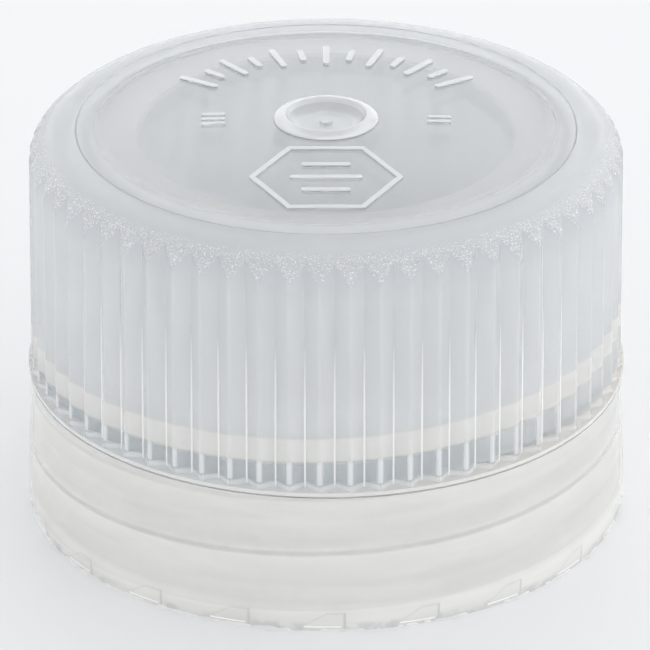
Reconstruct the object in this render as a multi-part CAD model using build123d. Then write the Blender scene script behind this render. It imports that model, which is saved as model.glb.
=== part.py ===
from build123d import *
import os
from math import asin, atan2, cos, hypot, pi, radians, sin, sqrt

# Tamper-evident ribbed screw closure for a 38 mm, 6 threads-per-inch bottle neck.
# Units are millimetres. The closure stands on its open rim: +Z is up through the top
# panel, the origin is the centre of the rim, and -Y is the side that faces a reader of
# the raised marks. Angles are turned counter-clockwise from -Y, seen from above.

# Driving dimensions -----------------------------------------------------------------

CREST_RADIUS = 21.0  # rib crests at the foot of the ribs
DRAFT = 0.0094  # radial draft of the ribs, per mm of height
SLIT_BOTTOM = 10.28  # top face of the tamper band
SLIT_TOP = 10.43  # bottom face of the cap
LIP_RADIUS = 21.2
LIP_TOP = 10.7  # flat ledge under the ribs
LIP_FLARE_TOP = 11.3

RIB_COUNT = 63
RIB_DEPTH = 0.69
CREST_ROUND = 0.27
VALLEY_ROUND = 0.08
RIB_TURN = -1.2  # angle of the crest next to -Y
CUTTER_MARGIN = 0.6  # how far the groove's cutter reaches outside the crests

SHOULDER_FOOT = 26.25  # where the ribs start to run out into the rounded shoulder
SHOULDER_RISE = 2.33
SHOULDER_INSET = 3.57
SHOULDER_MIDDLE_RADIUS = 19.99  # a point half-way along the shoulder's curve
PANEL_RADIUS = 17.54  # fine notch round the top panel
NOTCH_WIDTH = 0.16
NOTCH_DEPTH = 0.09
DOME_EDGE_HEIGHT = 28.56
DOME_HEIGHT = 29.1

WALL_RADIUS = 18.95  # inside of the skirt, at the root of the thread
WALL_TAPER_FOOT = 16.2  # the wall above the thread leans in to the seat
SEAT_RADIUS = 18.05  # plain wall round a neck's top land
SEAT_FOOT = 21.5
SEAT_TOP = 24.8
CORNER_RADIUS = 17.95
CORNER_FILLET = 0.9
CEILING_HEIGHT = 27.1

THREAD_PITCH = 25.4 / 6
THREAD_DEPTH = 1.1
THREAD_BASE = 2.3
THREAD_CREST = 1.1
THREAD_ROUND = 0.4
THREAD_FRONT_HEIGHT = 13.2  # height of the top turn's middle at -Y
THREAD_START_HEIGHT = 3.7
THREAD_END_HEIGHT = 14.9
THREAD_SINK = 0.2  # how far the ridge is sunk into the wall

BAND_TOP_RADIUS = 21.17
BAND_WAIST_RADIUS = 21.08
BAND_WAIST_HEIGHT = 8.4
BAND_MIDDLE_RADIUS = 21.24
BAND_MIDDLE_HEIGHT = 4.65
BAND_FOOT_RADIUS = 21.34
BAND_FOOT_HEIGHT = 1.9
RIM_OUTER_RADIUS = 21.24
RIM_INNER_RADIUS = 20.5
RIM_BORE_HEIGHT = 1.55
RIM_CONE_HEIGHT = 2.7

TOOTH_COUNT = 20
TOOTH_SPAN = 8.2  # degrees from the start of the ramp to the step
TOOTH_ROOT_RADIUS = 20.65  # sunk a little into the rim's bore
TOOTH_TIP_RADIUS = 19.65
TOOTH_LOW = 0.35
TOOTH_HIGH = 1.45
TOOTH_TURN = 3.7  # angle of the step next to -Y

BRIDGE_COUNT = 12
BRIDGE_WIDTH = 0.9
BRIDGE_INNER_RADIUS = 19.05
BRIDGE_OUTER_RADIUS = 19.65
BRIDGE_CLEARANCE = 0.02

GASKET_INNER_RADIUS = 13.0
GASKET_OUTER_RADIUS = 16.3
GASKET_THICKNESS = 2.0
GASKET_CLEARANCE = 0.05
GASKET_CHAMFER = 0.25
RETAINER_INNER_RADIUS = 16.5
RETAINER_WIDTH = 0.55
RETAINER_DEPTH = 0.8
RETAINER_ROOT = 0.2  # how far the ring is sunk into the ceiling

GATE_OUTER_RADIUS = 3.7
GATE_ROOT = 0.3  # how far the gate's ring is sunk into the panel
GATE_FOOT_DROP = 0.02  # fall of the dome at the ring's outer edge
GATE_SIDE_RADIUS = 3.25
GATE_SIDE_HEIGHT = 0.34
GATE_TOP_RADIUS = 2.95
GATE_HEIGHT = 0.42
GATE_LIP_RADIUS = 2.83  # top of the dish inside the ring
GATE_DISH_RADIUS = 2.465
GATE_DISH_HEIGHT = -0.085
GATE_FLOOR_RADIUS = 1.8
GATE_FLOOR_DEPTH = 0.35
GATE_NUB_RADIUS = 0.45
GATE_NUB_HEIGHT = 0.25
GATE_MARGIN = 0.6  # how far the dish's cutter reaches above the ring

RELIEF_HEIGHT = 0.16
BADGE_OFFSET = 9.4  # centre of the front badge, measured from the axis
BADGE_RADIUS = 5.3
BADGE_STROKE = 0.42
BADGE_BAR_LENGTHS = (3.4, 5.0, 3.4)
BADGE_BAR_PITCH = 1.9
SCALE_RADIUS = 11.2  # middle of the tick scale behind the gate
SCALE_COUNT = 13
SCALE_STEP = 9.0
SCALE_LONG = 3.3
SCALE_SHORT = 1.9
SCALE_STROKE = 0.45
MARK_OFFSET = 7.9
MARK_LENGTH = 1.7
MARK_STROKE = 0.28
MARK_PITCH = 0.75
MARK_FOOT = 28.0  # height where the raised marks are rooted in the panel


# Helpers ----------------------------------------------------------------------------


def turned(shape, angle):
    """Turn a shape about the closure's axis."""
    return Rot(0, 0, angle) * shape


def ring_of(shape, count, start=0.0):
    """Copies of a shape, evenly spaced about the axis."""
    return [turned(shape, start + index * 360 / count) for index in range(count)]


def revolved(outline):
    """Spin an outline, drawn as (radius, height), about the axis."""
    return revolve(Plane.XZ * make_face(outline), Axis.Z)


def tube(inner, outer, bottom, top):
    """A plain ring between two radii and two heights."""
    points = [(inner, bottom), (outer, bottom), (outer, top), (inner, top)]
    return revolved(Polyline(*points, close=True))


def slab(bottom, top):
    """A wide slab that keeps what lies between two heights."""
    side = 3 * CREST_RADIUS
    return Pos(0, 0, (bottom + top) / 2) * Box(side, side, top - bottom)


def shoulder_height(radius):
    """Height of the shoulder's elliptical section at a radius."""
    centre = CREST_RADIUS - DRAFT * (SHOULDER_FOOT - LIP_TOP) - SHOULDER_INSET
    return SHOULDER_FOOT + SHOULDER_RISE * (1 - ((radius - centre) / SHOULDER_INSET) ** 2) ** 0.5


# Skirt, shoulder and top panel ------------------------------------------------------


def cap_outline():
    """Section of the cap: lip, drafted side, shoulder, notch, domed panel and inside."""
    crest_top = CREST_RADIUS - DRAFT * (SHOULDER_FOOT - LIP_TOP)
    notch_outer = PANEL_RADIUS + NOTCH_WIDTH / 2
    notch_inner = PANEL_RADIUS - NOTCH_WIDTH / 2
    notch_floor = DOME_EDGE_HEIGHT - NOTCH_DEPTH
    shoulder = Spline(
        (crest_top, SHOULDER_FOOT),
        (CREST_RADIUS - RIB_DEPTH, shoulder_height(CREST_RADIUS - RIB_DEPTH)),
        (SHOULDER_MIDDLE_RADIUS, shoulder_height(SHOULDER_MIDDLE_RADIUS)),
        (notch_outer, shoulder_height(notch_outer)),
        tangents=((0, 1), (-1, 0.05)),
    )
    dome_middle = PANEL_RADIUS / 2
    dome_drop = (DOME_HEIGHT - DOME_EDGE_HEIGHT) * (dome_middle / notch_inner) ** 2
    dome = ThreePointArc(
        (notch_inner, DOME_EDGE_HEIGHT), (dome_middle, DOME_HEIGHT - dome_drop), (0, DOME_HEIGHT)
    )
    return (
        Polyline(
            (WALL_RADIUS, SLIT_TOP),
            (LIP_RADIUS, SLIT_TOP),
            (LIP_RADIUS, LIP_TOP),
            (CREST_RADIUS, LIP_FLARE_TOP),
            (crest_top, SHOULDER_FOOT),
        )
        + shoulder
        + Polyline((notch_outer, shoulder_height(notch_outer)), (PANEL_RADIUS, notch_floor))
        + Line((PANEL_RADIUS, notch_floor), (notch_inner, DOME_EDGE_HEIGHT))
        + dome
        + Polyline(
            (0, DOME_HEIGHT),
            (0, CEILING_HEIGHT),
            (CORNER_RADIUS - CORNER_FILLET, CEILING_HEIGHT),
        )
        + ThreePointArc(
            (CORNER_RADIUS - CORNER_FILLET, CEILING_HEIGHT),
            (
                CORNER_RADIUS - CORNER_FILLET * (1 - cos(radians(45))),
                CEILING_HEIGHT - CORNER_FILLET * (1 - sin(radians(45))),
            ),
            (CORNER_RADIUS, CEILING_HEIGHT - CORNER_FILLET),
        )
        + Polyline(
            (CORNER_RADIUS, CEILING_HEIGHT - CORNER_FILLET),
            (SEAT_RADIUS, SEAT_TOP),
            (SEAT_RADIUS, SEAT_FOOT),
            (WALL_RADIUS, WALL_TAPER_FOOT),
            (WALL_RADIUS, SLIT_TOP),
        )
    )


def facet_end(crest_centre):
    """Where a straight facet from the valley touches the crest's round."""
    across = crest_centre[0]
    outward = CREST_RADIUS - RIB_DEPTH + crest_centre[1]
    distance = hypot(across, outward)
    length = sqrt(distance**2 - CREST_ROUND**2)
    angle = atan2(outward, across) - asin(CREST_ROUND / distance)
    return (length * cos(angle), length * sin(angle) - CREST_RADIUS + RIB_DEPTH)


def rib_cutter():
    """One V-shaped groove at -Y with rounded crests, leaning inwards with the draft."""
    half = pi / RIB_COUNT
    crest = (CREST_RADIUS * sin(half), -CREST_RADIUS * cos(half))
    centre_radius = CREST_RADIUS - CREST_ROUND
    facet = facet_end((centre_radius * sin(half), -centre_radius * cos(half)))
    along_rim = (cos(half), sin(half))
    outside = -CREST_RADIUS - CUTTER_MARGIN
    outline = Line((0, RIB_DEPTH - CREST_RADIUS), facet)
    outline += TangentArc(crest, facet, tangent=(-along_rim[0], -along_rim[1]))
    outline += Polyline(crest, (crest[0], outside), (0, outside))
    outline += mirror(outline, Plane.YZ)
    section = fillet(make_face(outline).vertices().group_by(Axis.Y)[-1], VALLEY_ROUND)
    return extrude(Pos(0, 0, LIP_TOP) * section, DOME_HEIGHT, dir=(0, DRAFT, 1))


# Thread -----------------------------------------------------------------------------


def thread_ridge():
    """The whole right-hand ridge, from the bottom of the band up into the cap."""
    height = THREAD_END_HEIGHT - THREAD_START_HEIGHT
    helix = Helix(THREAD_PITCH, height, WALL_RADIUS)
    start = Plane(origin=helix @ 0, x_dir=(1, 0, 0), z_dir=helix % 0)
    section = make_face(
        Polyline(
            (THREAD_SINK, -THREAD_BASE / 2),
            (THREAD_SINK, THREAD_BASE / 2),
            (0, THREAD_BASE / 2),
            (-THREAD_DEPTH, THREAD_CREST / 2),
            (-THREAD_DEPTH, -THREAD_CREST / 2),
            (0, -THREAD_BASE / 2),
            close=True,
        )
    )
    section = fillet(section.vertices().group_by(Axis.X)[0], THREAD_ROUND)
    ridge = sweep(start * section, path=helix, is_frenet=True)
    turns_below_front = (THREAD_FRONT_HEIGHT - THREAD_START_HEIGHT) / THREAD_PITCH
    return turned(Pos(0, 0, THREAD_START_HEIGHT) * ridge, -90 - 360 * turns_below_front)


# Raised marks on the top panel ------------------------------------------------------


def bar(x, y, length, stroke, angle=0.0):
    """A round-ended stroke, centred at x, y."""
    return Pos(x, y) * Rot(0, 0, angle) * SlotOverall(length, stroke)


def badge_sketch():
    """A plain hexagon frame with three bars, in front of the gate."""
    frame = RegularPolygon(BADGE_RADIUS, 6) - RegularPolygon(BADGE_RADIUS - BADGE_STROKE, 6)
    sketch = Pos(0, -BADGE_OFFSET) * frame
    for index, length in enumerate(BADGE_BAR_LENGTHS):
        sketch += bar(0, -BADGE_OFFSET + (index - 1) * BADGE_BAR_PITCH, length, BADGE_STROKE)
    return sketch


def scale_sketch():
    """An arc of plain ticks behind the gate, long and short in turn."""
    sketch = Sketch()
    for index in range(SCALE_COUNT):
        angle = 90 + (index - (SCALE_COUNT - 1) / 2) * SCALE_STEP
        length = SCALE_LONG if index % 2 == 0 else SCALE_SHORT
        x = SCALE_RADIUS * cos(radians(angle))
        y = SCALE_RADIUS * sin(radians(angle))
        sketch += bar(x, y, length, SCALE_STROKE, angle)
    return sketch


def mark_sketch():
    """Three short bars to the left of the gate and two to the right."""
    sketch = Sketch()
    for side, count in ((-1, 3), (1, 2)):
        for index in range(count):
            y = (index - (count - 1) / 2) * MARK_PITCH
            sketch += bar(side * MARK_OFFSET, y, MARK_LENGTH, MARK_STROKE)
    return sketch


def raised_marks():
    """The marks, standing a little above the domed panel."""
    sketch = badge_sketch() + scale_sketch() + mark_sketch()
    prisms = extrude(Plane.XY.offset(MARK_FOOT) * sketch, DOME_HEIGHT)
    dome_middle = PANEL_RADIUS / 2
    drop = DOME_HEIGHT - DOME_EDGE_HEIGHT
    edge = (PANEL_RADIUS, DOME_EDGE_HEIGHT + RELIEF_HEIGHT)
    dome_drop = drop * (dome_middle / PANEL_RADIUS) ** 2
    crown = (0, DOME_HEIGHT + RELIEF_HEIGHT)
    lifted_dome = revolved(
        Polyline((0, MARK_FOOT), (PANEL_RADIUS, MARK_FOOT), edge)
        + ThreePointArc(edge, (dome_middle, crown[1] - dome_drop), crown)
        + Line(crown, (0, MARK_FOOT))
    )
    return prisms & lifted_dome


def gate_ring():
    """Raised ring round the moulding gate; its crater is cut by gate_crater."""
    low = DOME_HEIGHT - GATE_ROOT
    foot = DOME_HEIGHT - GATE_FOOT_DROP
    top = DOME_HEIGHT + GATE_HEIGHT
    outline = Polyline((0, low), (GATE_OUTER_RADIUS, low), (GATE_OUTER_RADIUS, foot))
    outline += Spline(
        (GATE_OUTER_RADIUS, foot),
        (GATE_SIDE_RADIUS, DOME_HEIGHT + GATE_SIDE_HEIGHT),
        (GATE_TOP_RADIUS, top),
        tangents=((-0.3, 1), (-1, 0)),
    )
    outline += Polyline((GATE_TOP_RADIUS, top), (0, top), (0, low))
    return revolved(outline)


def gate_crater():
    """The dish inside the gate ring, with the gate's small nub left standing."""
    floor = DOME_HEIGHT - GATE_FLOOR_DEPTH
    lip = DOME_HEIGHT + GATE_HEIGHT
    top = lip + GATE_MARGIN
    nub_top = floor + GATE_NUB_HEIGHT
    nub = ((0, nub_top), (GATE_NUB_RADIUS, nub_top), (GATE_NUB_RADIUS, floor))
    return revolved(
        Polyline(*nub, (GATE_FLOOR_RADIUS, floor))
        + ThreePointArc(
            (GATE_FLOOR_RADIUS, floor),
            (GATE_DISH_RADIUS, DOME_HEIGHT + GATE_DISH_HEIGHT),
            (GATE_LIP_RADIUS, lip),
        )
        + Polyline((GATE_LIP_RADIUS, lip), (GATE_LIP_RADIUS, top), (0, top), (0, nub_top))
    )


# Parts ------------------------------------------------------------------------------


def make_cap_shell(ridge):
    """Ribbed cap with its share of the thread, the gasket's retainer and the marks."""
    shell = revolved(cap_outline())
    shell -= ring_of(rib_cutter(), RIB_COUNT, RIB_TURN + 180 / RIB_COUNT)
    retainer_bottom = CEILING_HEIGHT - RETAINER_DEPTH
    retainer_outer = RETAINER_INNER_RADIUS + RETAINER_WIDTH
    retainer_top = CEILING_HEIGHT + RETAINER_ROOT
    shell += tube(RETAINER_INNER_RADIUS, retainer_outer, retainer_bottom, retainer_top)
    shell += ridge & slab(SLIT_TOP, THREAD_END_HEIGHT + THREAD_PITCH)
    shell += gate_ring()
    shell -= gate_crater()
    shell += raised_marks()
    return shell


def make_tamper_band(ridge):
    """Smooth band with a wavy wall, the lower thread turns and the ratchet teeth."""
    outer = Spline(
        (BAND_TOP_RADIUS, SLIT_BOTTOM),
        (BAND_WAIST_RADIUS, BAND_WAIST_HEIGHT),
        (BAND_MIDDLE_RADIUS, BAND_MIDDLE_HEIGHT),
        (BAND_FOOT_RADIUS, BAND_FOOT_HEIGHT),
        (RIM_OUTER_RADIUS, 0),
    )
    outline = outer + Polyline(
        (RIM_OUTER_RADIUS, 0),
        (RIM_INNER_RADIUS, 0),
        (RIM_INNER_RADIUS, RIM_BORE_HEIGHT),
        (WALL_RADIUS, RIM_CONE_HEIGHT),
        (WALL_RADIUS, SLIT_BOTTOM),
        (BAND_TOP_RADIUS, SLIT_BOTTOM),
    )
    band = revolved(outline)
    band += ridge & slab(0, SLIT_BOTTOM)
    band += ring_of(ratchet_tooth(), TOOTH_COUNT, TOOTH_TURN)
    return band


def ratchet_tooth():
    """One tooth at -Y: a ramp that grows counter-clockwise and ends in a radial step."""
    start = radians(-90 - TOOTH_SPAN)
    end = radians(-90)
    corners = [
        (TOOTH_ROOT_RADIUS * cos(start), TOOTH_ROOT_RADIUS * sin(start)),
        (TOOTH_ROOT_RADIUS * cos(end), TOOTH_ROOT_RADIUS * sin(end)),
        (TOOTH_TIP_RADIUS * cos(end), TOOTH_TIP_RADIUS * sin(end)),
    ]
    prism = extrude(make_face(Polyline(*corners, close=True)), TOOTH_HIGH)
    low_point = Vector(corners[0][0], corners[0][1], TOOTH_LOW)
    high_point = Vector(corners[1][0], corners[1][1], TOOTH_HIGH)
    ramp_normal = (high_point - low_point).cross(Vector(0, 1, 0))
    ramp = Plane(origin=low_point, z_dir=ramp_normal if ramp_normal.Z > 0 else -ramp_normal)
    return split(prism, bisect_by=ramp, keep=Keep.BOTTOM)


def make_break_bridges():
    """The thin bridges across the slit, standing on the band just short of the cap."""
    height = SLIT_TOP - SLIT_BOTTOM - BRIDGE_CLEARANCE
    depth = BRIDGE_OUTER_RADIUS - BRIDGE_INNER_RADIUS
    middle = (BRIDGE_OUTER_RADIUS + BRIDGE_INNER_RADIUS) / 2
    bridge = Pos(0, -middle, SLIT_BOTTOM + height / 2) * Box(BRIDGE_WIDTH, depth, height)
    return Compound(children=ring_of(bridge, BRIDGE_COUNT, 180 / BRIDGE_COUNT))


def make_sealing_gasket():
    """Flat ring gasket under the ceiling, inside the retainer."""
    top = CEILING_HEIGHT - GASKET_CLEARANCE
    bottom = top - GASKET_THICKNESS
    inner, outer, cut = GASKET_INNER_RADIUS, GASKET_OUTER_RADIUS, GASKET_CHAMFER
    return revolved(
        Polyline(
            (inner + cut, bottom),
            (outer - cut, bottom),
            (outer, bottom + cut),
            (outer, top - cut),
            (outer - cut, top),
            (inner + cut, top),
            (inner, top - cut),
            (inner, bottom + cut),
            close=True,
        )
    )


def main():
    """Build every part and write one STEP file for each."""
    ridge = thread_ridge()
    parts = {
        "cap_shell": make_cap_shell(ridge),
        "tamper_band": make_tamper_band(ridge),
        "break_bridges": make_break_bridges(),
        "sealing_gasket": make_sealing_gasket(),
    }
    os.makedirs("parts", exist_ok=True)
    for name, shape in parts.items():
        export_step(shape, f"parts/{name}.step")
        print(name, "volume", round(shape.volume, 1), "valid", shape.is_valid)


if __name__ == "__main__":
    main()
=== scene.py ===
from math import cos, pi, radians, sin

import bmesh
import bpy
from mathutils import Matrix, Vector, noise


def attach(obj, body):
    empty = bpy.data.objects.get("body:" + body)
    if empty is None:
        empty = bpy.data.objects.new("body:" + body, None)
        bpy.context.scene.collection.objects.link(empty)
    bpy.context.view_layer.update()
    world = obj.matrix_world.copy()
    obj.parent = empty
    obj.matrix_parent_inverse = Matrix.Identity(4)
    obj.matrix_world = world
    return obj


# Looks of the ribbed screw closure: translucent natural polypropylene, polished on the ribs
# and the top panel, stippled on the shoulder, and milkier and warmer on the band, with painted
# light and shade: glows and shade lines over the thread, bright lines on crests and valleys,
# glints on the stipple, the teeth's outlines, and darker tints on the shoulder, disc and gap.

MM = 0.001


def span(low, high):
    """The two ends of a fade, given in millimetres, in metres."""
    return low * MM, high * MM


# Shape, as in the CAD ---------------------------------------------------------------

CREST_RADIUS = 21.0 * MM
DRAFT = 0.0094  # of the ribs
RIB_COUNT = 63
RIB_TURN = -1.2 / 360  # the crest next to the front, in turns round from it
DOME_HEIGHT = 29.1 * MM  # middle of the top panel
DOME_FALL = 0.54 * MM / (17.46 * MM) ** 2  # fall of the panel for each square metre
THREAD_PITCH = 25.4 / 6 * MM
THREAD_FRONT = 13.2 * MM  # height of the thread's top turn in front
THREAD_END = 0.4  # where the thread ends, in turns round from the front
TOOTH_COUNT = 20
TOOTH_TURN = 3.7 / 360  # first step of the ratchet, in turns round from the front
TOOTH_SHARE = 8.2 * TOOTH_COUNT / 360  # share of a tooth's pitch that its ramp takes

# Zones of the cap: where each fades in or out ---------------------------------------

OUTER_WALL = span(18.5, 19.0)  # radius
PANEL_RIM = span(15.2, 16.8)  # radius
PANEL_FACE = span(27.5, 27.7)
PANEL_UNDERSIDE = span(27.4, 27.6)
SHOULDER = span(24.5, 27.0)
STIPPLE_FOOT = span(25.8, 26.4)  # on a crest
STIPPLE_TOP = span(27.9, 28.4)
ARCH_RISE = 2.6 * MM  # climb of the stipple's foot for a whole pitch of a rib
LIP = span(10.9, 11.4)
CREST = span(20.9, 21.1)  # drafted radius
CREST_FOOT = span(11.0, 11.3)
VALLEY = span(20.44, 20.48)  # drafted radius
VALLEY_FADE = span(15.0, 26.0)
GATE_EDGE = span(3.6, 3.7)  # radius
GATE_FOOT = span(28.6, 28.7)
RAISED = span(0.03, 0.12)  # height over the dome
BORE = span(18.98, 19.1)  # radius
CEILING = span(26.5, 27.0)
GASKET_HOLE = span(12.6, 13.0)  # radius
GASKET_FACE = span(14.0, 16.0)  # radius
INNER_CORNER = span(16.3, 16.5)  # radius
CORNER_FOOT = span(24.0, 25.5)
RIDGE_FACE = span(18.7, 18.9)  # radius
THREAD_TOP = span(16.0, 16.3)
FROST_FOOT = span(-1.0, -0.6)  # height over the thread's top turn
GAP_TOP = span(-1.2, -0.8)  # height over the thread's top turn
GAP_FOOT = span(0.9, 1.7)  # height over the next turn down
GAP_END = (0.64, 0.82)  # share of the top turn
GLOW_FOOT = span(-0.6, 0.0)  # height over the ridge
GLOW_TOP = span(1.4, 2.2)
GLOW_END = (0.87, 0.99)  # share of the top turn
GLOW_LEAN = 0.5  # fall of the glow for each metre outwards
BELOW_RIDGE = span(-0.6, 0.2)  # height over the ridge
# Painted glints: the stipple's grain over this level goes milky white.
STIPPLE_GLINT_LEVEL = (0.57, 0.63)  # level of the grain

# Zones of the band ------------------------------------------------------------------

BAND_SKIN = span(20.9, 21.0)  # radius
BAND_WALL = span(19.0, 19.6)  # radius
BAND_RIDGE = span(18.6, 18.9)  # radius
RIM_TOP = span(2.2, 2.9)
RIM_HAZE = span(1.5, 2.3)
RIM_BORE = span(20.6, 20.7)  # radius
RIM_TOOTH = span(20.4, 20.48)  # radius
TURN_GLOW_FOOT = span(-1.3, -0.4)  # height over a turn of the thread
TURN_GLOW_TOP = span(1.0, 1.2)
TURN_SHADE_FOOT = span(0.95, 1.25)
TURN_SHADE_TOP = span(1.3, 1.6)
SHADE_WEAKENS = span(6.5, 9.0)
SHADE_FOOT = span(3.0, 4.5)
STREAKS = (0.3, 0.7)  # level of the noise
TOOTH_FLAT = 0.2  # share of a tooth's pitch under the flat part of its outline
TOOTH_TAIL = (TOOTH_SHARE - 0.03, TOOTH_SHARE + 0.01)  # share of a tooth's pitch
TOOTH_FOOT = 0.32 * MM  # ends of a tooth's outline, as seen through the rim
TOOTH_TOP = 1.38 * MM
TOOTH_ROOF = span(-0.1, 0.05)  # depth under the outline
TOOTH_SLOPE = (TOOTH_TOP - TOOTH_FOOT) / (TOOTH_SHARE - TOOTH_FLAT)
EDGE_LINE = span(0.03, 0.12)  # half widths of the outline and of the line at a tooth's foot
FOOT_LINE = span(0.04, 0.1)
FOOT_LINE_START = (0.03, 0.06)  # share of a tooth's pitch
STEP_PLACE = 0.012  # share of a tooth's pitch
STEP_LINE = (0.008, 0.022)
STEP_TOP = span(-0.1, 0.0)  # depth under the outline
GLINT_HEIGHT = 1.0 * MM
GLINT_FADE = span(0.1, 0.4)
LOW_PATCH_LEVEL = (0.4, 0.6)  # level of the noise
LOW_PATCH_TOP = span(0.4, 0.8)

# Plastics ---------------------------------------------------------------------------

CLEAREST = 0.92  # transmission where nothing is milky
PLASTIC_IOR = 1.49
CAP_GLOSS = 0.05  # least roughness
BAND_GLOSS = 0.07
CAP_RELIEF = 0.2 * MM  # height of the bump for a whole step of the relief
BAND_RELIEF = 0.12 * MM
PATCH_RELIEF = 0.05 * MM
CAP_TINT = (0.968, 0.976, 0.985, 1)
# Warm tint of the ridge and of the painted glow over it.
GLOW_TINT = (1.0, 0.985, 0.955, 1)
# Painted shade tints: the disc inside the gasket's hole, the shoulder, the stipple and the bare
# gap under the thread.
DISC_SHADE_TINT = (0.9, 0.935, 0.965, 1)
SHOULDER_SHADE_TINT = (0.87, 0.885, 0.91, 1)
STIPPLE_SHADE_TINT = (0.85, 0.86, 0.885, 1)
GAP_SHADE_TINT = (0.66, 0.72, 0.77, 1)
WALL_TINT = (0.93, 0.945, 0.96, 1)
BAND_TINT = (0.99, 0.98, 0.96, 1)
SHADE_TINT = (0.93, 0.93, 0.925, 1)
# Tint of the teeth's painted shade lines and of the dark patches along the bottom edge.
RIM_SHADE_AND_PATCH_TINT = (0.78, 0.78, 0.775, 1)
FOAM_TINTS = ((0.97, 0.975, 0.97, 1), (1.0, 1.0, 0.995, 1))
FLASH_TINTS = ((0.7, 0.71, 0.71, 1), (0.86, 0.86, 0.85, 1))
FLOOR_TINT = (0.92, 0.93, 0.94, 1)
SKY_TINT = (0.968, 0.978, 0.984, 1)

# Flash along the band's bottom edge -------------------------------------------------

FLASH_RADIUS = 21.235 * MM  # the band's bottom edge
FLASH_REACH = 0.3 * MM
FLASH_HEIGHT = 0.16 * MM
FLASH_FOOT = 0.01 * MM
FLASH_STEPS = 1440
FLASH_COARSE = 9  # scales of the noise that shapes it
FLASH_FINE = 35

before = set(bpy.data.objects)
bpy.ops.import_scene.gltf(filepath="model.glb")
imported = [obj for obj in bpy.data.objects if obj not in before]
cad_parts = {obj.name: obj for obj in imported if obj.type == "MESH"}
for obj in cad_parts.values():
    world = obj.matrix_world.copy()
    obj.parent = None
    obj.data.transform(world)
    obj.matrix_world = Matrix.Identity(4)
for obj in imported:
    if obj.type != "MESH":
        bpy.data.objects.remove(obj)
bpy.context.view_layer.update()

# Camera -----------------------------------------------------------------------------

camera_data = bpy.data.cameras.new("camera")
camera_data.sensor_width = 36
camera_data.lens = 335.0
camera_data.clip_start = 0.05
camera_data.shift_x = -0.0017
camera_data.shift_y = -0.0200
camera = bpy.data.objects.new("camera", camera_data)
camera.location = (0, -0.38496, 0.20560)
camera.rotation_euler = (radians(63.539), 0, 0)
bpy.context.scene.collection.objects.link(camera)
bpy.context.scene.camera = camera


# Node helpers -----------------------------------------------------------------------


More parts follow.
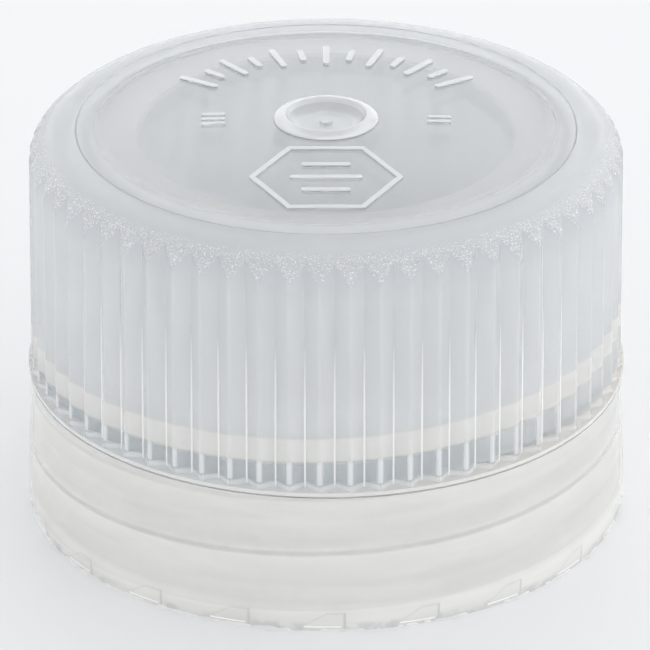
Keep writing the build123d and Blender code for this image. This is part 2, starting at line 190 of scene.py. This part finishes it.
class Nodes:
    """A small builder for one node tree."""

    def __init__(self, tree):
        self.tree = tree

    def add(self, kind, **settings):
        """Add a node and set its plain attributes."""
        node = self.tree.nodes.new(kind)
        for name, value in settings.items():
            setattr(node, name, value)
        return node

    def feed(self, socket, source):
        """Give an input a link or a constant."""
        if isinstance(source, bpy.types.NodeSocket):
            self.tree.links.new(source, socket)
        else:
            socket.default_value = source

    def math(self, operation, first, second=0.0):
        """One math node's output."""
        node = self.add("ShaderNodeMath", operation=operation)
        self.feed(node.inputs[0], first)
        self.feed(node.inputs[1], second)
        return node.outputs[0]

    def product(self, *factors):
        """The product of several values."""
        result = factors[0]
        for factor in factors[1:]:
            result = self.math("MULTIPLY", result, factor)
        return result

    def most(self, first, second):
        """The larger of two values."""
        return self.math("MAXIMUM", first, second)

    def rest(self, share):
        """What a share leaves of 1."""
        return self.math("SUBTRACT", 1.0, share)

    def off(self, value, middle):
        """How far a value is from a middle, to either side."""
        return self.math("ABSOLUTE", self.math("SUBTRACT", value, middle))

    def strongest(self, *pairs):
        """The largest of several products, each a mask times its strength."""
        result = self.product(*pairs[0])
        for pair in pairs[1:]:
            result = self.most(result, self.product(*pair))
        return result

    def fade(self, value, ends, at_low, at_high):
        """A smooth change from one level to another while a value goes from end to end."""
        node = self.add("ShaderNodeMapRange", interpolation_type="SMOOTHSTEP")
        for name, source in (
            ("Value", value),
            ("From Min", ends[0]),
            ("From Max", ends[1]),
            ("To Min", at_low),
            ("To Max", at_high),
        ):
            self.feed(node.inputs[name], source)
        return node.outputs["Result"]

    def above(self, value, ends):
        """1 where a value is above both ends of a fade, and 0 below them."""
        return self.fade(value, ends, 0.0, 1.0)

    def below(self, value, ends):
        """1 where a value is below both ends of a fade, and 0 above them."""
        return self.fade(value, ends, 1.0, 0.0)

    def noise(self, position, scale, detail=2.0, roughness=0.5):
        """A noise value around 0.5; scale is in waves per metre."""
        node = self.add("ShaderNodeTexNoise")
        self.feed(node.inputs["Vector"], position)
        node.inputs["Scale"].default_value = scale
        node.inputs["Detail"].default_value = detail
        node.inputs["Roughness"].default_value = roughness
        return node.outputs["Fac"]

    def squeezed(self, position, factor):
        """A position whose height counts for more, so that a noise on it lies in flat streaks."""
        node = self.add("ShaderNodeVectorMath", operation="MULTIPLY")
        self.feed(node.inputs[0], position)
        node.inputs[1].default_value = (1, 1, factor)
        return node.outputs[0]

    def split(self, vector):
        """A vector's three parts."""
        node = self.add("ShaderNodeSeparateXYZ")
        self.feed(node.inputs[0], vector)
        return node.outputs

    def place(self):
        """Position in the part's own frame, with its radius and its height."""
        position = self.add("ShaderNodeTexCoord").outputs["Object"]
        across, deep, height = self.split(position)
        squares = self.math("ADD", self.product(across, across), self.product(deep, deep))
        return position, self.math("SQRT", squares), height

    def turns_round(self, position):
        """Turns round the axis, counter-clockwise from the front, between -0.5 and 0.5."""
        across, deep, _ = self.split(position)
        angle = self.math("ARCTAN2", across, self.product(deep, -1.0))
        return self.math("DIVIDE", angle, 2 * pi)

    def above_thread(self, position, height):
        """Height over the middle of the thread's top turn, and how far round that turn is."""
        turns = self.math("ADD", self.turns_round(position), 1 - THREAD_END)
        turns = self.math("FRACT", turns)
        rise = self.product(self.math("SUBTRACT", turns, 1 - THREAD_END), THREAD_PITCH)
        over = self.math("SUBTRACT", self.math("SUBTRACT", height, rise), THREAD_FRONT)
        return over, turns

    def blend(self, factor, first, second):
        """Mix two colours."""
        node = self.add("ShaderNodeMix", data_type="RGBA")
        self.feed(node.inputs[0], factor)
        self.feed(node.inputs[6], first)
        self.feed(node.inputs[7], second)
        return node.outputs[2]

    def bump(self, height, distance):
        """A bump normal from a height between 0 and 1."""
        node = self.add("ShaderNodeBump")
        self.feed(node.inputs["Height"], height)
        node.inputs["Distance"].default_value = distance
        return node.outputs["Normal"]


def principled(name):
    """A new material: its node builder and its Principled shader."""
    material = bpy.data.materials.new(name)
    material.use_nodes = True
    nodes = Nodes(material.node_tree)
    return material, nodes, material.node_tree.nodes["Principled BSDF"]


# Materials --------------------------------------------------------------------------


def fill_plastic(nodes, shader, tint, rough, normal, milky):
    """Wire a plastic's shader; where it is milky, less light goes straight through."""
    nodes.feed(shader.inputs["Base Color"], tint)
    nodes.feed(shader.inputs["Roughness"], rough)
    nodes.feed(shader.inputs["Normal"], normal)
    nodes.feed(shader.inputs["Transmission Weight"], nodes.math("SUBTRACT", CLEAREST, milky))
    shader.inputs["IOR"].default_value = PLASTIC_IOR


def ridge_glow(nodes, over_ridge):
    """A painted light band on the ribs in front of a turn of the thread."""
    return nodes.product(nodes.above(over_ridge, GLOW_FOOT), nodes.below(over_ridge, GLOW_TOP))


def cap_plastic():
    """Clear-milky plastic: polished outside, frosted inside, stippled on the shoulder, with
    painted glows, highlight lines, glints and shade.
    """
    material, nodes, shader = principled("natural_pp")
    position, radius, height = nodes.place()
    over_thread, turns = nodes.above_thread(position, height)
    # The top turn gets shallower over its last part, and the painted shade and crest highlights
    # below it fade out first.
    run_out = nodes.above(turns, GAP_END)
    open_gap = nodes.rest(run_out)

    outside = nodes.above(radius, OUTER_WALL)
    top = nodes.product(nodes.above(radius, PANEL_RIM), nodes.above(height, PANEL_FACE))
    # The ridge lies deeper than the ribs, so the painted glow for it on the ribs leans out and
    # down.
    lean = nodes.product(nodes.math("SUBTRACT", radius, CREST_RADIUS), GLOW_LEAN)
    over_ridge = nodes.math("SUBTRACT", over_thread, lean)
    over_next = nodes.math("ADD", over_ridge, THREAD_PITCH)
    # Painted light: over each turn of the ridge the skin is made milkier and warmer.
    glow = nodes.product(ridge_glow(nodes, over_ridge), nodes.below(turns, GLOW_END))
    glow = nodes.product(nodes.most(glow, ridge_glow(nodes, over_next)), outside)
    # Painted highlight: crests under the ridge are made milkier still.
    under_ridge = nodes.product(nodes.below(over_ridge, BELOW_RIDGE), open_gap)
    skin = nodes.most(nodes.above(over_ridge, GLOW_FOOT), run_out)
    skin = nodes.most(nodes.product(outside, skin), top)
    # Painted shade: the shoulder's skin is tinted darker and bluer, and the stipple on it darker
    # still.
    shaded_shoulder = nodes.product(skin, nodes.above(height, SHOULDER))
    lip = nodes.product(outside, nodes.below(height, LIP))

    # The stipple comes further down on a crest than where a groove ends in its pointed arch.
    rib = nodes.math("SUBTRACT", nodes.turns_round(position), RIB_TURN)
    rib = nodes.math("ADD", nodes.product(rib, RIB_COUNT), RIB_COUNT + 0.5)
    off_crest = nodes.off(nodes.math("FRACT", rib), 0.5)
    over_arch = nodes.math("SUBTRACT", height, nodes.product(off_crest, ARCH_RISE))
    stippled = nodes.product(outside, nodes.above(over_arch, STIPPLE_FOOT))
    stippled = nodes.product(stippled, nodes.below(height, STIPPLE_TOP))

    inside = nodes.product(nodes.below(radius, BORE), nodes.below(height, PANEL_UNDERSIDE))
    wall = nodes.most(nodes.above(over_thread, FROST_FOOT), run_out)
    wall = nodes.product(wall, nodes.below(height, CEILING), inside)
    over_lower = nodes.math("ADD", over_thread, THREAD_PITCH)
    # Painted shade: the bare wall under the top turn is tinted dark and blue.
    gap = nodes.product(nodes.below(over_thread, GAP_TOP), open_gap)
    gap = nodes.product(gap, nodes.above(over_lower, GAP_FOOT), inside)
    ceiling = nodes.product(inside, nodes.above(height, CEILING))
    # Painted shade: the ceiling inside the gasket's hole is tinted darker and bluer.
    disc = nodes.product(ceiling, nodes.below(radius, GASKET_HOLE))
    corner = nodes.product(inside, nodes.above(radius, INNER_CORNER))
    corner = nodes.product(corner, nodes.above(height, CORNER_FOOT))
    ridge = nodes.product(nodes.below(radius, RIDGE_FACE), nodes.below(height, THREAD_TOP))

    # The drafted radius is the same all the way up a rib: largest on a crest, least in a valley.
    drafted = nodes.math("ADD", radius, nodes.product(height, DRAFT))
    # Painted highlight lines: the crests and the valleys are made milkier, so they show bright.
    crest = nodes.product(nodes.above(drafted, CREST), nodes.above(height, CREST_FOOT))
    valley = nodes.product(outside, nodes.below(drafted, VALLEY))
    valley = nodes.product(valley, nodes.below(height, VALLEY_FADE))

    # The panel falls by the square of the radius, and the gate's ring and the marks stand over it.
    level = nodes.math("ADD", height, nodes.product(radius, radius, DOME_FALL))
    raised = nodes.above(nodes.math("SUBTRACT", level, DOME_HEIGHT), RAISED)
    gate = nodes.product(nodes.below(radius, GATE_EDGE), nodes.above(height, GATE_FOOT))

    grain = nodes.noise(position, scale=11000, roughness=0.6)
    ripple = nodes.noise(position, scale=420)
    # Painted glints on the stipple.
    stipple_glints = nodes.product(stippled, nodes.above(grain, STIPPLE_GLINT_LEVEL))
    relief = nodes.product(grain, nodes.product(stippled, 0.2))
    relief = nodes.math("ADD", relief, nodes.product(ripple, 0.01))
    rough = nodes.strongest(
        (wall, 0.45),
        (ceiling, nodes.fade(radius, GASKET_FACE, 0.12, 0.2)),
        (lip, 0.15),
        (skin, 0.16),
    )
    milky = nodes.strongest(
        (wall, 0.42),
        (ceiling, 0.12),
        (ridge, 0.9),
        (corner, 0.7),
        (outside, 0.16),
        (skin, 0.3),
        (top, 0.32),
        (glow, 0.4),
        (stipple_glints, 0.7),
        (stippled, 0.3),
        (gate, 0.35),
        (lip, 0.5),
        (crest, nodes.math("ADD", nodes.product(under_ridge, 0.22), 0.3)),
        (valley, 0.8),
        (raised, 0.45),
    )
    # The ridge and the painted glow are tinted warmer. Then come the painted shade tints of the
    # disc, shoulder, stipple and gap, and the wall's own tint.
    tint = nodes.blend(nodes.most(ridge, glow), CAP_TINT, GLOW_TINT)
    for zone, colour in (
        (disc, DISC_SHADE_TINT),
        (shaded_shoulder, SHOULDER_SHADE_TINT),
        (stippled, STIPPLE_SHADE_TINT),
        (gap, GAP_SHADE_TINT),
        (wall, WALL_TINT),
    ):
        tint = nodes.blend(zone, tint, colour)
    rough = nodes.math("ADD", rough, CAP_GLOSS)
    fill_plastic(nodes, shader, tint, rough, nodes.bump(relief, CAP_RELIEF), milky)
    return material


def rim_light_and_shade(nodes, position, height):
    """Painted light and shade lines where the ratchet teeth lie behind the clear rim, a painted
    glint between them, and dark patches along the bottom edge.
    """
    along = nodes.math("SUBTRACT", TOOTH_TURN, nodes.turns_round(position))
    along = nodes.math("ADD", nodes.product(along, TOOTH_COUNT), TOOTH_COUNT)
    along = nodes.math("FRACT", along)
    on_tooth = nodes.below(along, TOOTH_TAIL)
    past_flat = nodes.most(nodes.math("SUBTRACT", along, TOOTH_FLAT), 0.0)
    roof = nodes.math("SUBTRACT", TOOTH_TOP, nodes.product(past_flat, TOOTH_SLOPE))
    under_roof = nodes.math("SUBTRACT", roof, height)
    body = nodes.product(nodes.above(under_roof, TOOTH_ROOF), on_tooth)
    between = nodes.rest(body)

    # Painted shade along a tooth's outline and a painted shadow line at its step. A painted
    # highlight runs along its foot and over its body, and a painted glint between the teeth.
    edge = nodes.product(nodes.below(nodes.off(under_roof, 0.0), EDGE_LINE), on_tooth)
    foot = nodes.product(nodes.below(nodes.off(height, TOOTH_FOOT), FOOT_LINE), on_tooth)
    foot = nodes.product(foot, nodes.above(along, FOOT_LINE_START))
    step = nodes.below(nodes.off(along, STEP_PLACE), STEP_LINE)
    step = nodes.product(step, nodes.above(under_roof, STEP_TOP))
    glint = nodes.below(nodes.off(height, GLINT_HEIGHT), GLINT_FADE)
    # Dark patches along the bottom edge, between the teeth.
    low_patches = nodes.above(nodes.noise(position, scale=700, detail=3.0), LOW_PATCH_LEVEL)
    low_patches = nodes.product(low_patches, nodes.below(height, LOW_PATCH_TOP))
    light = nodes.strongest((foot, 1.0), (glint, between, 0.5), (body, 0.2))
    dark = nodes.strongest((step, 1.0), (edge, 0.5), (low_patches, between, 0.8))
    return light, dark


def band_plastic():
    """The band's plastic: warmer and milkier, with the thread and the teeth showing through and
    painted light and shade lines over them.
    """
    material, nodes, shader = principled("band_pp")
    position, radius, height = nodes.place()
    over_thread, _ = nodes.above_thread(position, height)
    # The half puts a turn in the middle of its stretch, and the 8 keeps the number positive.
    turns = nodes.math("ADD", nodes.math("DIVIDE", over_thread, THREAD_PITCH), 8 + 0.5)
    over_turn = nodes.math("SUBTRACT", nodes.math("FRACT", turns), 0.5)
    over_turn = nodes.product(over_turn, THREAD_PITCH)
    # Painted light over each turn of the thread and a painted shade line above it. The shade is
    # weaker higher up and gone low down.
    glow = nodes.above(over_turn, TURN_GLOW_FOOT)
    glow = nodes.product(glow, nodes.below(over_turn, TURN_GLOW_TOP))
    shade = nodes.above(over_turn, TURN_SHADE_FOOT)
    shade = nodes.product(shade, nodes.below(over_turn, TURN_SHADE_TOP))
    shade = nodes.product(shade, nodes.fade(height, SHADE_WEAKENS, 1.0, 0.3))
    shade = nodes.product(shade, nodes.above(height, SHADE_FOOT))

    above_rim = nodes.above(height, RIM_TOP)
    at_rim = nodes.rest(above_rim)
    wall = nodes.product(nodes.below(radius, BAND_WALL), above_rim)
    ridge = nodes.product(nodes.below(radius, BAND_RIDGE), above_rim)
    tooth = nodes.product(nodes.below(radius, RIM_TOOTH), at_rim)
    bore = nodes.product(nodes.below(radius, RIM_BORE), at_rim)
    skin = nodes.above(radius, BAND_SKIN)
    light, dark = rim_light_and_shade(nodes, position, height)
    # The teeth's painted shade lines and the dark patches at the bottom edge are tinted darker.
    rim_shade_and_patches = nodes.product(skin, dark)

    streaks = nodes.noise(nodes.squeezed(position, 6.0), scale=90, detail=3.0)
    swell = nodes.noise(nodes.squeezed(position, 5.0), scale=120, detail=1.0)
    grain = nodes.noise(position, scale=3500)
    relief = nodes.math("ADD", nodes.product(grain, 0.04), nodes.product(swell, 0.4))
    # The haze carries streaks of the plastic, plus the painted glow and less the painted shade.
    haze = nodes.math("ADD", nodes.fade(streaks, STREAKS, 0.36, 0.42), nodes.product(glow, 0.06))
    haze = nodes.math("SUBTRACT", haze, nodes.product(shade, 0.14))
    haze = nodes.product(haze, nodes.fade(height, RIM_HAZE, 1.3, 1.0))
    # The painted light lines of the teeth go milky white on the skin.
    milky = nodes.strongest(
        (wall, 0.35),
        (ridge, 0.9),
        (tooth, 0.9),
        (bore, 0.75),
        (skin, light, 0.85),
        (rim_shade_and_patches, 0.6),
        (skin, haze),
    )
    rough = nodes.strongest((wall, 0.4), (skin, above_rim, 0.1))
    rough = nodes.math("ADD", rough, BAND_GLOSS)
    tint = nodes.blend(shade, BAND_TINT, SHADE_TINT)
    tint = nodes.blend(rim_shade_and_patches, tint, RIM_SHADE_AND_PATCH_TINT)
    fill_plastic(nodes, shader, tint, rough, nodes.bump(relief, BAND_RELIEF), milky)
    return material


def patchy(name, tints, scale, roughness):
    """An opaque material with fine patches between two tints, each a little raised."""
    material, nodes, shader = principled(name)
    position, _, _ = nodes.place()
    patches = nodes.noise(position, scale, detail=3.0)
    nodes.feed(shader.inputs["Base Color"], nodes.blend(patches, *tints))
    nodes.feed(shader.inputs["Normal"], nodes.bump(patches, PATCH_RELIEF))
    shader.inputs["Roughness"].default_value = roughness
    return material


def dress(node, material):
    """Give a CAD node its material."""
    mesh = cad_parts[node].data
    mesh.materials.clear()
    mesh.materials.append(material)


band_material = band_plastic()
dress("cap_shell", cap_plastic())
dress("tamper_band", band_material)
dress("break_bridges", band_material)
dress("sealing_gasket", patchy("gasket_foam", FOAM_TINTS, scale=2500, roughness=0.6))

# Flash ------------------------------------------------------------------------------


def flash_ring(shape, index):
    """The flash's section at one step round the edge: four points, inner foot first."""
    angle = 2 * pi * index / FLASH_STEPS
    along = Vector((cos(angle), sin(angle), 0))
    coarse = noise.noise(along * FLASH_COARSE)
    fine = noise.noise(along * FLASH_FINE)
    # Thin nearly everywhere, with a few longer tongues.
    reach = FLASH_REACH * min(1.0, max(0.0, 0.2 + 1.2 * coarse + 0.7 * fine))
    rise = Vector((0, 0, FLASH_HEIGHT * (1 + 0.8 * fine)))
    inner = along * FLASH_RADIUS
    outer = along * (FLASH_RADIUS + reach)
    foot = Vector((0, 0, FLASH_FOOT))
    corners = (inner + foot, outer + foot, outer + foot + rise * 0.4, inner + foot + rise)
    return [shape.verts.new(corner) for corner in corners]


def make_flash():
    """The thin ragged flash that the mould left round the band's bottom edge."""
    shape = bmesh.new()
    rings = [flash_ring(shape, index) for index in range(FLASH_STEPS)]
    for index, ring in enumerate(rings):
        following = rings[(index + 1) % FLASH_STEPS]
        for side in range(4):
            other = (side + 1) % 4
            shape.faces.new((ring[side], ring[other], following[other], following[side]))
    bmesh.ops.recalc_face_normals(shape, faces=shape.faces)
    mesh = bpy.data.meshes.new("rim_flash")
    shape.to_mesh(mesh)
    shape.free()
    mesh.materials.append(patchy("flash_pp", FLASH_TINTS, scale=900, roughness=0.35))
    flash = bpy.data.objects.new("rim_flash", mesh)
    bpy.context.scene.collection.objects.link(flash)
    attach(flash, "band")


make_flash()

# Studio -----------------------------------------------------------------------------


def make_floor():
    """A wide pale floor under the open rim."""
    bpy.ops.mesh.primitive_plane_add(size=8)
    floor = bpy.context.object
    floor.name = "floor"
    material, _, shader = principled("floor")
    shader.inputs["Base Color"].default_value = FLOOR_TINT
    shader.inputs["Roughness"].default_value = 0.5
    floor.data.materials.append(material)


def make_sky():
    """Soft light from all round: bright low down, at the sides and behind, dimmer above."""
    world = bpy.data.worlds.new("studio")
    world.use_nodes = True
    nodes = Nodes(world.node_tree)
    background = world.node_tree.nodes["Background"]
    # The parts of the direction that the light comes from: to the right, to the back and up.
    across, deep, up = nodes.split(nodes.add("ShaderNodeTexCoord").outputs["Generated"])
    sides = nodes.fade(nodes.off(across, 0.0), (0.7, 0.85), 0.0, 0.35)
    behind = nodes.fade(deep, (0.35, 0.75), 0.0, 0.2)
    overhead = nodes.fade(up, (0.05, 0.8), 1.58, 0.75)
    to_right = nodes.product(across, 0.2)
    around = nodes.math("ADD", sides, behind)
    level = nodes.math("ADD", around, nodes.math("ADD", overhead, to_right))
    nodes.feed(background.inputs["Strength"], level)
    background.inputs["Color"].default_value = SKY_TINT
    bpy.context.scene.world = world


make_floor()
make_sky()
bpy.context.scene.cycles.max_bounces = 24
bpy.context.scene.cycles.diffuse_bounces = 10
bpy.context.scene.cycles.transmission_bounces = 20
bpy.context.scene.view_settings.view_transform = "Standard"
